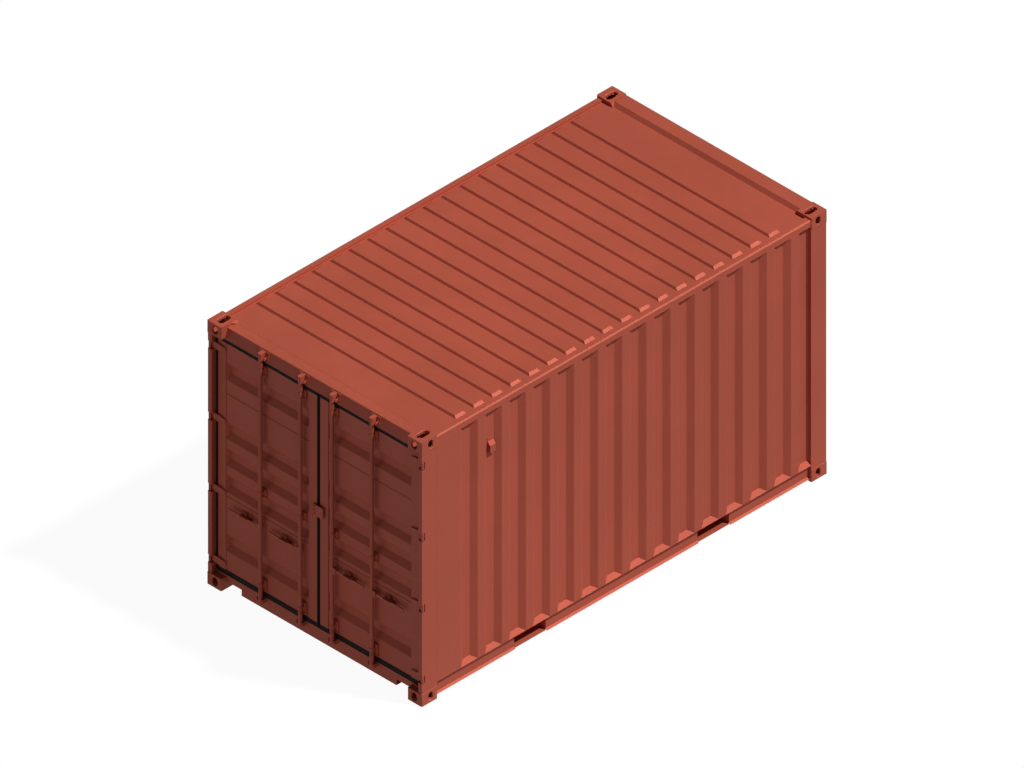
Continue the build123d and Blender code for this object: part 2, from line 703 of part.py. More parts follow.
def overlap_plate():
    """A plate on the left leaf's edge that laps over the right leaf."""
    face = DOOR_Y + LEAF_FACE
    edge = -LEAF_CENTRE_GAP / 2
    front = face - OVERLAP_PROUD
    plate = block(OVERLAP_LEFT, OVERLAP_RIGHT, front - OVERLAP_THICK, front,
                  OVERLAP_LOW, OVERLAP_HIGH)
    foot = block(OVERLAP_LEFT, edge, front, face, OVERLAP_LOW, OVERLAP_HIGH)
    return plate + foot


def lock_rod(x, side):
    """A tube with thicker ends, a cam at each end and a forked hub for its handle."""
    y = DOOR_Y + ROD_FROM_DOOR
    rod = Pos(x, y, (ROD_BOTTOM + ROD_TOP) / 2) * Cylinder(ROD_RADIUS, ROD_TOP - ROD_BOTTOM)
    for z in (CAM_Z_LOW, HEIGHT - CAM_TOP_DROP):
        cam = block(x - CAM_HALF, x + CAM_HALF, y, y + CAM_REACH, z, z + CAM_TALL)
        rod += cam
    pivot = x + side * HANDLE_PIVOT
    for sign in (-1, 1):
        inner = y + sign * (HANDLE_THICK / 2 + HANDLE_GAP)
        outer = inner + sign * HUB_CHEEK
        rod += block(x, x + side * HUB_REACH, inner, outer, HANDLE_Z - HUB_TALL / 2,
                     HANDLE_Z + HUB_TALL / 2)
    pin = Pos(pivot, y, HANDLE_Z) * Rot(90, 0, 0) * Cylinder(HUB_PIN_RADIUS,
                                                         HANDLE_THICK + 2 * HUB_CHEEK)
    return rod + pin


def handle(x, side):
    """A flat bar on the hub's pin, resting on its retainer."""
    y = DOOR_Y + ROD_FROM_DOOR
    x0 = x + side * (ROD_RADIUS + HANDLE_FROM_ROD)
    x1 = x + side * HANDLE_LONG
    half = HANDLE_THICK / 2
    bar = block(x0, x1, y - half, y + half, HANDLE_Z - HANDLE_TALL / 2, HANDLE_Z + HANDLE_TALL / 2)
    pivot = Pos(x + side * HANDLE_PIVOT, y, HANDLE_Z) * Rot(90, 0, 0)
    return bar - pivot * Cylinder(HUB_PIN_RADIUS + PIN_CLEARANCE, 2 * HANDLE_THICK)


def build_nodes():
    """Every node's solids, by name."""
    nodes = fitting_pairs()
    sided = {
        "door_post": [door_post()],
        "end_post": [end_post()],
        "top_rail": [top_rail()],
        "bottom_rail": [bottom_rail()],
        "side_wall": [side_wall()],
        "door_frame": [door_frame()],
        "door_panel": [door_panel()],
        "door_gasket": [door_gasket()],
        "hinge_blades": hinge_blades(),
    }
    for name, solids in sided.items():
        nodes[f"{name}_right"] = solids
        nodes[f"{name}_left"] = [to_left(solid) for solid in solids]
    lugs = hinge_lugs()
    nodes["hinge_lugs"] = lugs + [to_left(lug) for lug in lugs]
    nodes["door_header"] = [door_header()]
    nodes["door_sill"] = [door_sill()]
    nodes["end_header"] = [end_header()]
    nodes["end_sill"] = [end_sill()]
    nodes["end_wall"] = [end_wall()]
    nodes["roof_panel"] = [roof_panel()]
    nodes["floor_boards"] = [floor_boards()]
    nodes["cross_members"] = cross_members()
    nodes["fork_pockets"] = fork_pockets()
    vent = ventilator()
    nodes["ventilators"] = [vent, to_left(vent)]
    nodes["rod_keepers"] = rod_keepers()
    nodes["rod_brackets_left"] = rod_brackets(-1)
    nodes["rod_brackets_right"] = rod_brackets(1)
    nodes["overlap_plate"] = [overlap_plate()]
    for name, side, x in rod_places():
        nodes[f"lock_rod_{name}"] = [lock_rod(x, side)]
        nodes[f"handle_{name}"] = [handle(x, side)]
    return nodes


def main():
    os.makedirs("parts", exist_ok=True)
    for name, solids in build_nodes().items():
        bodies = [solid for shape in solids for solid in shape.solids()]
        export_step(Compound(bodies), f"parts/{name}.step")


main()
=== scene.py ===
import json
import math

import bmesh
import bpy
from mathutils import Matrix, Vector


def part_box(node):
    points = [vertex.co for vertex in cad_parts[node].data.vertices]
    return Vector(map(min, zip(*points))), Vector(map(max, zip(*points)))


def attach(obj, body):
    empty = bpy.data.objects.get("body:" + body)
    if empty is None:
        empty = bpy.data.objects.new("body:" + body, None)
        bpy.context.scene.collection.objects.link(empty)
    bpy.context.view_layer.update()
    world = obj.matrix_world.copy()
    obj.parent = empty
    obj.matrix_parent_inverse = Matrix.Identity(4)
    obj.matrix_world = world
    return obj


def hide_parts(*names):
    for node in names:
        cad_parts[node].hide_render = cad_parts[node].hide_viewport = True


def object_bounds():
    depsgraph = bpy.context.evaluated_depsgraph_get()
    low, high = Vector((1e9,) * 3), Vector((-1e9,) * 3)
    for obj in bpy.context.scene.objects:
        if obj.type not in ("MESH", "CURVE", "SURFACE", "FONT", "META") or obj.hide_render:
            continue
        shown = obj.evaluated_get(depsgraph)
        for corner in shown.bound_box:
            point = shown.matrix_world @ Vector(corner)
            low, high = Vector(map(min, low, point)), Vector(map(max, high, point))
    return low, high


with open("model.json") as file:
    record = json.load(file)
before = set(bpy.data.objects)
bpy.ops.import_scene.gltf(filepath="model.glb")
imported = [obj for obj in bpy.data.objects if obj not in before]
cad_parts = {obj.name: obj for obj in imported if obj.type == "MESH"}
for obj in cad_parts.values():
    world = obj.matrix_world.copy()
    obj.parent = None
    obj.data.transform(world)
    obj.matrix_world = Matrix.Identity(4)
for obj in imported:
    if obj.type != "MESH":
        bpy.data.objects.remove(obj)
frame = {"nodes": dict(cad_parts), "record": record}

cad_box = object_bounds()

# Planes of the box, in metres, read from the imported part
SIDE = cad_box[1][0]
DOOR = cad_box[0][1]
END = cad_box[1][1]
TOP = cad_box[1][2]

# Places on the doors, as depths behind the fittings' front plane
LEAF_FACE = 0.0485
PANEL_FACE = 0.053
BRACKET_FACE = 0.0405
RETAINER_FACE = 0.047
OVERLAP_FACE = 0.0285
OVERLAP_BACK = 0.0365
BLADE_FACE = 0.031
SILL_FACE = 0.053
HEADER_LIP = 0.042
HEADER_LEAN = 0.031 / 0.095
HEADER_FOOT = TOP - 0.131
ROD_DEPTH = 0.020
HINGE_PIN = 0.022

# Lock rods: their places across the doors, and the levels and heights of the bearing brackets
RODS = (("left_outer", -0.632), ("left_inner", -0.180),
        ("right_inner", 0.180), ("right_outer", 0.632))
BRACKETS = ((0.264, 0.118), (1.167, 0.085), (TOP - 0.224, 0.098))
BRACKET_HALF = 0.045
BRACKET_BOLT_ACROSS = 0.033
BRACKET_BOLT_MARGIN = 0.013
BEARING_INNER = 0.0175
BEARING_OUTER = 0.0200
BEARING_HALF = 0.020
ROD_RADIUS = 0.017
SLEEVE_RADIUS = 0.0193
CAP_RADIUS = 0.020
ROD_FOOT = 0.102
ROD_HEAD = TOP - 0.043
SILL_TOP = 0.139
KEEPER_HALF = 0.036

# Handles: their level, and how far each place on one is from its rod
HANDLE_LEVEL = 0.828
HANDLE_HALF = 0.013
HANDLE_ROOT = 0.022
HANDLE_END = 0.362
HASP_REACH = 0.183
HUB_PIVOT = 0.034
HUB_REACH = 0.046
HUB_HALF = 0.030
FORK_INNER = 0.006
FORK_OUTER = 0.012
RETAINER_HALF = 0.060

# Hinges: four on each leaf, from the knuckle along the blade
HINGES = 4
HINGE_FIRST = 0.253
HINGE_PITCH = (TOP - 0.238 - HINGE_FIRST) / (HINGES - 1)
HINGE_AXIS = SIDE - 0.014
HINGE_ROOT = SIDE - 0.012
HINGE_WELD_START = SIDE - 0.082
HINGE_SHOULDER = SIDE - 0.100
HINGE_TIP = SIDE - 0.165
HINGE_HALF = 0.0325
HINGE_TIP_HALF = 0.017

# Leaves: the foot of each upper sheet of the panel, and the plate that laps the leaves
LAP_LEVELS = (0.922, 1.929)
OVERLAP_SPAN = (1.250, 1.358)
OVERLAP_LEFT = -0.046

# Frame: posts, castings, roof and top rails
POST_OUT = SIDE - 0.004
POST_IN = SIDE - 0.048
FITTING_LONG = 0.178
FITTING_WIDE = 0.162
FITTING_TALL = 0.118
ROOF = TOP - 0.036
RAIL_TOP = TOP - 0.018

# Ventilators: their heights, their extent along the side, and how far out each face is
VENT_HEAD = TOP - 0.386
VENT_FOOT = VENT_HEAD - 0.104
VENT_SPAN = (DOOR + 0.7835, DOOR + 0.8495)
VENT_WALL = SIDE - 0.040
VENT_FLANGE = SIDE - 0.037
VENT_FACE = SIDE - 0.007


class Maths:
    """A socket of a node tree, on which sums are written as in Python."""

    def __init__(self, graph, socket):
        self.graph = graph
        self.socket = socket

    def sum_with(self, operation, other):
        return self.graph.node("ShaderNodeMath", {"operation": operation}, {0: self, 1: other})

    def __add__(self, other):
        return self.sum_with("ADD", other)

    __radd__ = __add__

    def __mul__(self, other):
        return self.sum_with("MULTIPLY", other)

    __rmul__ = __mul__


class Graph:
    """A node tree, and one way to add any node to it."""

    def __init__(self, tree):
        self.tree = tree

    def node(self, kind, settings, inputs, output=0):
        made = self.tree.nodes.new(kind)
        for key, value in settings.items():
            if key == "stops":
                ramp = made.color_ramp
                for element, (position, level) in zip(ramp.elements, value):
                    element.position = position
                    element.color = (level, level, level, 1)
            else:
                setattr(made, key, value)
        for key, value in inputs.items():
            self.feed(made.inputs[key], value)
        return Maths(self, made.outputs[output])

    def feed(self, socket, value):
        if isinstance(value, Maths):
            self.tree.links.new(value.socket, socket)
        else:
            socket.default_value = value


class Finish(Graph):
    """One material and the nodes that make its look."""

    def __init__(self, name):
        self.material = bpy.data.materials.new(name)
        self.material.use_nodes = True
        super().__init__(self.material.node_tree)
        self.shader = self.tree.nodes["Principled BSDF"]
        self.place = self.node("ShaderNodeTexCoord", {}, {}, "Object")

    def set(self, **sockets):
        for name, value in sockets.items():
            self.feed(self.shader.inputs[name.replace("_", " ")], value)

    def noise(self, scale, detail=3.0, rough=0.55, stretch=(1, 1, 1)):
        spot = self.node("ShaderNodeMapping", {}, {"Vector": self.place, "Scale": stretch})
        return self.node("ShaderNodeTexNoise", {},
                         {"Vector": spot, "Scale": scale, "Detail": detail, "Roughness": rough})

    def between(self, share, low, high):
        """A colour part of the way from one to another."""
        return self.node("ShaderNodeMix", {"data_type": "RGBA"}, {0: share, 6: low, 7: high}, 2)

    def ramp(self, share, stops):
        return self.node("ShaderNodeValToRGB", {"stops": stops}, {0: share})

    def bump(self, height, distance, strength=1.0):
        return self.node("ShaderNodeBump", {},
                         {"Height": height, "Distance": distance, "Strength": strength})


def shade(colour, factor):
    return (colour[0] * factor, colour[1] * factor, colour[2] * factor, 1)


def paint_finish(name, colour, gloss, grain, grain_depth):
    """Sprayed paint on steel: faint clouding, a little dust and a fine orange peel."""
    paint = Finish(name)
    cloud = paint.ramp(paint.noise(1.3, 4), [(0.38, 0), (0.64, 1)])
    dust = paint.ramp(paint.noise(9, 5, 0.7), [(0.45, 0), (0.75, 1)])
    coat = paint.between(cloud, shade(colour, 0.965), shade(colour, 1.035))
    paint.set(Base_Color=paint.between(0.12 * dust, coat, DUST), Metallic=0.22,
              Roughness=gloss + 0.05 * cloud + 0.10 * dust, Specular_IOR_Level=0.2,
              Normal=paint.bump(paint.noise(grain, 2), grain_depth, 0.4))
    return paint.material


def rubber_finish():
    rubber = Finish("seal_rubber")
    wear = rubber.noise(14, 3)
    rubber.set(Base_Color=rubber.between(wear, (0.006, 0.005, 0.005, 1), (0.012, 0.010, 0.009, 1)),
               Roughness=0.70 + 0.12 * wear, Specular_IOR_Level=0.25,
               Normal=rubber.bump(rubber.noise(420), 0.0003))
    return rubber.material


def wood_finish():
    wood = Finish("deck_ply")
    grain = wood.noise(9, 6, 0.6, (9, 0.6, 4))
    stain = wood.noise(2.4, 4)
    colour = wood.between(grain, (0.24, 0.130, 0.062, 1), (0.46, 0.285, 0.15, 1))
    worn = wood.between(0.25 * stain, colour, (0.16, 0.105, 0.065, 1))
    wood.set(Base_Color=worn, Roughness=0.58 + 0.16 * grain, Normal=wood.bump(grain, 0.0008, 0.5))
    return wood.material


def zinc_finish():
    zinc = Finish("plated_steel")
    patch = zinc.noise(60, 4)
    zinc.set(Base_Color=zinc.between(patch, (0.30, 0.29, 0.27, 1), (0.42, 0.41, 0.38, 1)),
             Metallic=0.9, Roughness=0.38 + 0.2 * patch, Normal=zinc.bump(patch, 0.0002))
    return zinc.material


BRICK = (0.50, 0.101, 0.059)
DUST = (0.44, 0.11, 0.07, 1)
MATERIALS = {
    "body_paint": paint_finish("box_paint", BRICK, 0.46, 300, 0.0003),
    "casting_paint": paint_finish("cast_paint", BRICK, 0.48, 150, 0.0008),
    "gear_paint": paint_finish("gear_paint", BRICK, 0.46, 300, 0.0003),
    "underframe_paint": paint_finish("underframe_paint", shade(BRICK, 0.92)[:3], 0.56, 200, 0.0006),
    "gasket_rubber": rubber_finish(),
    "floor_wood": wood_finish(),
}
BOLT_STEEL = zinc_finish()


def break_edges(piece, width, sharpest=35):
    """Live modifiers that merge loose triangles and round the edges sharper than an angle."""
    weld = piece.modifiers.new("weld", "WELD")
    weld.merge_threshold = 0.00002
    edge = piece.modifiers.new("edge", "BEVEL")
    edge.width = width
    edge.segments = 2
    edge.limit_method = "ANGLE"
    edge.angle_limit = math.radians(sharpest)
    edge.harden_normals = True


def dress_nodes():
    """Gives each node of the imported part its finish, and rounds the edges of its thick pieces."""
    rounding = {"door_post": 0.0015, "end_post": 0.0020,
                "door_header": 0.0020, "end_header": 0.0020}
    for row in frame["record"]["subparts"]:
        piece = frame["nodes"][row["node"]]
        piece.data.materials.clear()
        piece.data.materials.append(MATERIALS[row["material_slot"]])
        for start, width in rounding.items():
            if row["node"].startswith(start):
                break_edges(piece, width)


dress_nodes()


def leaf_word(side):
    return "left" if side < 0 else "right"


def rods_on(side):
    return [(name, x) for name, x in RODS if x * side > 0]


def add_object(name, data):
    """A new object in the scene."""
    made = bpy.data.objects.new(name, data)
    bpy.context.scene.collection.objects.link(made)
    return made


# Closed solids, each added to a mesh in the making
def add_prism(mesh, first, second):
    """A closed solid between two rings of points."""
    rings = [[mesh.verts.new(point) for point in ring] for ring in (first, second)]
    count = len(first)
    for i in range(count):
        j = (i + 1) % count
        mesh.faces.new((rings[0][i], rings[0][j], rings[1][j], rings[1][i]))
    mesh.faces.new(rings[0])
    mesh.faces.new(rings[1])


def add_block(mesh, low, high):
    ring = [(low[0], low[1]), (high[0], low[1]), (high[0], high[1]), (low[0], high[1])]
    add_prism(mesh, [(x, y, low[2]) for x, y in ring], [(x, y, high[2]) for x, y in ring])


def add_bar(mesh, xs, depths, heights):
    """A square-edged bar on the doors, between depths behind the fittings' front plane."""
    add_block(mesh, (min(xs), DOOR + depths[0], heights[0]),
              (max(xs), DOOR + depths[1], heights[1]))


def add_across(mesh, outline, x0, x1):
    """A prism across the box over an outline of places along it and heights."""
    add_prism(mesh, [(x0, y, z) for y, z in outline], [(x1, y, z) for y, z in outline])


def add_along(mesh, outline, y0, y1):
    """A prism along the box over an outline of places across and heights."""
    add_prism(mesh, [(x, y0, z) for x, z in outline], [(x, y1, z) for x, z in outline])


def add_section(mesh, outline, x0, x1):
    """A prism across the doors over an outline of depths and heights."""
    add_across(mesh, [(DOOR + d, z) for d, z in outline], x0, x1)


def add_plan(mesh, outline, z0, z1):
    """A prism upwards over an outline of places across and depths."""
    add_prism(mesh, [(x, DOOR + d, z0) for x, d in outline],
              [(x, DOOR + d, z1) for x, d in outline])


def arc(x, depth, radius, start, end, steps):
    """Points on an arc in plan, with angles in degrees from +X towards the inside."""
    angles = [math.radians(start + (end - start) * i / steps) for i in range(steps + 1)]
    return [(x + radius * math.cos(a), depth + radius * math.sin(a)) for a in angles]


def add_drum(mesh, x, radius, z0, z1, sides=28):
    """A round bar on a lock rod's axis."""
    before = len(mesh.faces)
    add_plan(mesh, arc(x, ROD_DEPTH, radius, 0, 360, sides)[:-1], z0, z1)
    mesh.faces.ensure_lookup_table()
    for face in mesh.faces[before:before + sides]:
        face.smooth = True


def add_collar(mesh, x, depth, inner, outer, z0, z1, sides=28):
    """A closed ring round an upright axis."""
    rings = []
    for radius, z in ((outer, z0), (outer, z1), (inner, z1), (inner, z0)):
        circle = arc(x, depth, radius, 0, 360, sides)[:-1]
        rings.append([mesh.verts.new((a, DOOR + b, z)) for a, b in circle])
    for i in range(4):
        for j in range(sides):
            k = (j + 1) % sides
            mesh.faces.new((rings[i][j], rings[i][k], rings[(i + 1) % 4][k], rings[(i + 1) % 4][j]))


def keep_piece(name, data, material, body, stands_for=()):
    """Links a finished mesh as a piece that rides on a body."""
    piece = add_object(name, data)
    if not data.materials:
        data.materials.append(material)
    if stands_for:
        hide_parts(*stands_for)
    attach(piece, body)
    return piece


def as_data(name, mesh):
    """The finished mesh as Blender keeps it."""
    data = bpy.data.meshes.new(name)
    mesh.to_mesh(data)
    mesh.free()
    return data


def make_piece(name, mesh, body, slot_name, soften=0.0, stands_for=()):
    """Turns the faces outwards, breaks the edges and keeps the piece."""
    bmesh.ops.recalc_face_normals(mesh, faces=mesh.faces)
    if soften:
        sharp = 0.6
        corners = [edge for edge in mesh.edges if edge.calc_face_angle(0.0) > sharp]
        bmesh.ops.bevel(mesh, geom=corners, offset=soften, segments=2, affect="EDGES",
                        profile=0.5, clamp_overlap=True)
    return keep_piece(name, as_data(name, mesh), MATERIALS[slot_name], body, stands_for)


# Recipes for what repeats: bolts, rivets, screws, weld beads and the ventilators' screens
class Recipe(Graph):
    """A Geometry Nodes tree over points or lines, with named inputs for its sizes."""

    def __init__(self, name, **sizes):
        super().__init__(bpy.data.node_groups.new(name, "GeometryNodeTree"))
        face = self.tree.interface
        face.new_socket("Geometry", in_out="INPUT", socket_type="NodeSocketGeometry")
        face.new_socket("Geometry", in_out="OUTPUT", socket_type="NodeSocketGeometry")
        self.keys = {}
        kinds = {int: "NodeSocketInt", float: "NodeSocketFloat", tuple: "NodeSocketVector"}
        for key, value in sizes.items():
            socket = face.new_socket(key, in_out="INPUT", socket_type=kinds[type(value)])
            socket.default_value = value
            self.keys[key] = socket.identifier
        self.keys["Finish"] = face.new_socket("Finish", in_out="INPUT",
                                              socket_type="NodeSocketMaterial").identifier
        self.start = self.tree.nodes.new("NodeGroupInput")

    def size(self, key):
        return Maths(self, self.start.outputs[key])

    def moved(self, shape, height, scale=(1, 1, 1)):
        offset = self.node("ShaderNodeCombineXYZ", {}, {2: height})
        return self.node("GeometryNodeTransform", {},
                         {"Geometry": shape, "Translation": offset, "Scale": scale})

    def joined(self, *shapes):
        made = self.tree.nodes.new("GeometryNodeJoinGeometry")
        for shape in shapes:
            self.tree.links.new(shape.socket, made.inputs[0])
        return Maths(self, made.outputs[0])

    def placed(self, shape):
        """The shape on every point, turned by the input Turn."""
        spread = self.node("GeometryNodeInstanceOnPoints", {},
                           {"Points": self.size("Geometry"), "Instance": shape,
                            "Rotation": self.size("Turn")})
        self.close(spread)

    def close(self, shape):
        real = self.node("GeometryNodeRealizeInstances", {}, {0: shape})
        painted = self.node("GeometryNodeSetMaterial", {},
                            {"Geometry": real, "Material": self.size("Finish")})
        end = self.tree.nodes.new("NodeGroupOutput")
        self.feed(end.inputs[0], painted)

    def grow(self, name, seed, material, body, slot_name, **sizes):
        """Runs the recipe over a mesh and keeps the result as a plain piece."""
        carrier = add_object(name + "_seed", seed)
        modifier = carrier.modifiers.new("recipe", "NODES")
        modifier.node_group = self.tree
        modifier[self.keys["Finish"]] = material
        for key, value in sizes.items():
            modifier[self.keys[key]] = value
        graph = bpy.context.evaluated_depsgraph_get()
        data = bpy.data.meshes.new_from_object(carrier.evaluated_get(graph))
        carrier.modifiers.remove(modifier)
        bpy.data.objects.remove(carrier)
        data.name = name
        return keep_piece(name, data, material, body)


def cylinder(recipe, sides, radius, depth):
    return recipe.node("GeometryNodeMeshCylinder", {},
                       {"Vertices": sides, "Radius": radius, "Depth": depth})


def bolt_recipe():
    """A washer, and a hexagonal head with its corners broken."""
    bolt = Recipe("hex_bolt", Radius=0.008, Height=0.0055, Turn=(0.0, 0.0, 0.0))
    radius = bolt.size("Radius")
    height = bolt.size("Height")
    washer = bolt.moved(cylinder(bolt, 16, radius * 1.3, height * 0.3), height * 0.15)
    head = bolt.moved(cylinder(bolt, 6, radius, height * 0.75), height * 0.6)
    crown = bolt.node("GeometryNodeMeshCone", {}, {"Vertices": 12, "Radius Top": radius * 0.62,
                                                   "Radius Bottom": radius * 0.86,
                                                   "Depth": height * 0.2})
    bolt.placed(bolt.joined(washer, head, bolt.moved(crown, height * 0.975)))
    return bolt


def rivet_recipe():
    """A low domed head."""
    rivet = Recipe("domed_rivet", Radius=0.006, Turn=(0.0, 0.0, 0.0))
    ball = rivet.node("GeometryNodeMeshUVSphere", {},
                      {"Segments": 12, "Rings": 8, "Radius": rivet.size("Radius")})
    rivet.placed(rivet.moved(ball, 0.0, (1, 1, 0.45)))
    return rivet


def screw_recipe():
    """A flat countersunk head, a hair proud, with the cross of its recess standing in it."""
    screw = Recipe("deck_screw", Radius=0.0065, Turn=(0.0, 0.0, 0.0))
    radius = screw.size("Radius")
    rim = screw.node("GeometryNodeMeshCone", {}, {"Vertices": 14, "Radius Top": radius * 0.93,
                                                  "Radius Bottom": radius, "Depth": 0.0008})
    bars = [screw.node("GeometryNodeMeshCube", {},
                       {"Size": screw.node("ShaderNodeCombineXYZ", {},
                                           {0: radius * a, 1: radius * b, 2: 0.0010})})
            for a, b in ((1.1, 0.22), (0.22, 1.1))]
    screw.placed(screw.joined(rim, *bars))
    return screw


def weld_recipe():
    """A bead along a line, its ripples uneven from a fixed seed."""
    weld = Recipe("weld_bead", Bead=0.0035, Ripple=0.006, Seed=3)
    line = weld.node("GeometryNodeMeshToCurve", {}, {"Mesh": weld.size("Geometry")})
    steps = weld.node("GeometryNodeResampleCurve", {"mode": "LENGTH"},
                      {"Curve": line, "Length": weld.size("Ripple")})
    swell = weld.node("FunctionNodeRandomValue", {"data_type": "FLOAT"},
                      {2: 0.72, 3: 1.18, "Seed": weld.size("Seed")}, 1)
    ridged = weld.node("GeometryNodeSetCurveRadius", {}, {"Curve": steps, "Radius": swell})
    round_bead = weld.node("GeometryNodeCurvePrimitiveCircle", {"mode": "RADIUS"},
                           {"Resolution": 6, "Radius": weld.size("Bead")})
    tube = weld.node("GeometryNodeCurveToMesh", {},
                     {"Curve": ridged, "Profile Curve": round_bead, "Fill Caps": True})
    weld.close(weld.node("GeometryNodeSetShadeSmooth", {}, {"Geometry": tube}))
    return weld


def wire_recipe():
    """A round wire along every edge."""
    wire = Recipe("woven_wire", Gauge=0.0009)
    line = wire.node("GeometryNodeMeshToCurve", {}, {"Mesh": wire.size("Geometry")})
    ring = wire.node("GeometryNodeCurvePrimitiveCircle", {"mode": "RADIUS"},
                     {"Resolution": 6, "Radius": wire.size("Gauge")})
    wire.close(wire.node("GeometryNodeCurveToMesh", {},
                         {"Curve": line, "Profile Curve": ring, "Fill Caps": True}))
    return wire


BOLT = bolt_recipe()
RIVET = rivet_recipe()
SCREW = screw_recipe()
WELD = weld_recipe()
WIRE = wire_recipe()
FORWARD = (math.radians(90), 0.0, 0.0)


def points_mesh(name, points):
    data = bpy.data.meshes.new(name)
    data.from_pydata(points, [], [])
    return data


def lines_mesh(name, lines):
    """A mesh of open or closed chains of points. A chain that ends where it starts is closed."""
    verts = []
    edges = []
    for line in lines:
        first = len(verts)
        closed = line[0] == line[-1]
        points = line[:-1] if closed else line
        verts += points
        edges += [(first + i, first + i + 1) for i in range(len(points) - 1)]
        if closed:
            edges.append((first + len(points) - 1, first))
    data = bpy.data.meshes.new(name)
    data.from_pydata(verts, edges, [])
    return data


# Deck: plywood sheets with a steel strip between their rows, and their screws
def lay_deck():
    low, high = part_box("floor_boards")
    half = high[0] - 0.0055
    strip = 0.015
    gap = 0.0015
    rows = 3
    sheets = bmesh.new()
    length = (high[1] - low[1]) / rows
    for i in range(rows):
        y0 = low[1] + i * length + gap
        y1 = low[1] + (i + 1) * length - gap
        for x0, x1 in ((-half, -strip - gap), (strip + gap, half)):
            add_block(sheets, (x0, y0, low[2]), (x1, y1, high[2]))
    make_piece("deck_sheets", sheets, "box", "floor_wood", 0.0012, ("floor_boards",))
    bar = bmesh.new()
    sunk = 0.0005
    add_block(bar, (-strip, low[1] + gap, low[2]), (strip, high[1] - gap, high[2] - sunk))
    make_piece("deck_strip", bar, "box", "underframe_paint", 0.0008)
    spots = []
    across = 5
    lines = 14
    margin = 0.05
    edge = 0.04
    proud = 0.0003
    for i in range(lines + 1):
        y = low[1] + margin + (high[1] - low[1] - 2 * margin) * i / lines
        for side in (-1, 1):
            for j in range(across):
                x = strip + edge + (half - strip - 2 * edge) * j / (across - 1)
                spots.append((side * x, y, high[2] + proud))
    SCREW.grow("deck_screws", points_mesh("deck_points", spots), BOLT_STEEL, "box", "floor_wood")


lay_deck()


# Seals: a lipped rubber ring round each leaf
def seal_ring(side):
    """The lip's outline, as a share of each gap and a depth, swept round the leaf."""
    word = leaf_word(side)
    low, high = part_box(f"door_frame_{word}")
    hinge_lip = 0.026
    centre_lip = 0.014
    foot_lip = 0.043
    head_lip = 0.034
    left_lip, right_lip = (hinge_lip, centre_lip) if side < 0 else (centre_lip, hinge_lip)
    outline = [(0, 0.0490), (0.30, 0.0490), (0.82, 0.0500), (1.0, 0.0535), (0.97, 0.0575),
               (0.70, 0.0600), (0.42, 0.0630), (0.36, 0.0680), (0.44, 0.0730), (0.74, 0.0760),
               (1.0, 0.0800), (1.0, 0.0850), (0.80, 0.0895), (0.36, 0.0920), (0.30, 0.0950),
               (0, 0.0950)]
    mesh = bmesh.new()
    rings = []
    for share, depth in outline:
        x0 = low[0] - left_lip * share
        x1 = high[0] + right_lip * share
        z0 = low[2] - foot_lip * share
        z1 = high[2] + head_lip * share
        corners = ((x0, z0), (x1, z0), (x1, z1), (x0, z1))
        rings.append([mesh.verts.new((x, DOOR + depth, z)) for x, z in corners])
    for i in range(len(rings)):
        here = rings[i]
        following = rings[(i + 1) % len(rings)]
        for j in range(4):
            k = (j + 1) % 4
            mesh.faces.new((here[j], here[k], following[k], following[j]))
    make_piece(f"door_seal_{word}", mesh, f"door_{word}", "gasket_rubber",
               stands_for=(f"door_gasket_{word}",))


# Leaves: the laps of the panel's sheets with a black strip of painted shadow under each, bolts,
# rivets and the hinge blades' welds
def panel_laps(side):
    word = leaf_word(side)
    low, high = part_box(f"door_panel_{word}")
    laps = bmesh.new()
    # Black strips under the laps are painted shadow
    painted_shadow_strip = bmesh.new()
    for level in LAP_LEVELS:
        fold = [(PANEL_FACE, level + 0.016), (PANEL_FACE - 0.0020, level + 0.003),
                (PANEL_FACE - 0.0020, level), (PANEL_FACE, level)]
        add_section(laps, fold, low[0], high[0])
        # A black rubber wedge under each lap's edge is the painted shadow of the lap
        shadow_wedge = [(PANEL_FACE, level), (PANEL_FACE - 0.0018, level),
                  (PANEL_FACE - 0.0014, level - 0.005), (PANEL_FACE, level - 0.008)]
        add_section(painted_shadow_strip, shadow_wedge, low[0], high[0])
    make_piece(f"panel_laps_{word}", laps, f"door_{word}", "body_paint")
    make_piece(f"lap_painted_shadow_{word}", painted_shadow_strip, f"door_{word}", "gasket_rubber")


def gear_fixings(side):
    """Bolts in the bearing brackets and the lap plate, and rivets in the handles' retainers."""
    word = leaf_word(side)
    bolts = []
    rivets = []
    for _, x in rods_on(side):
        for level, tall in BRACKETS:
            up = tall / 2 - BRACKET_BOLT_MARGIN
            for across in (-BRACKET_BOLT_ACROSS, BRACKET_BOLT_ACROSS):
                for z in (level - up, level + up):
                    bolts.append((x + across, DOOR + BRACKET_FACE, z))
        middle = x + side * HASP_REACH
        for across in (-0.051, 0.051):
            rivets.append((middle + across, DOOR + RETAINER_FACE, HANDLE_LEVEL + 0.030))
    if side < 0:
        bolts += [(-0.031, DOOR + OVERLAP_FACE, level) for level in (1.268, 1.304, 1.340)]
    paint = MATERIALS["gear_paint"]
    BOLT.grow(f"gear_bolts_{word}", points_mesh("bolt_points", bolts), paint,
              f"door_{word}", "gear_paint", Turn=FORWARD)
    RIVET.grow(f"retainer_rivets_{word}", points_mesh("rivet_points", rivets), paint,
               f"door_{word}", "gear_paint", Turn=FORWARD)


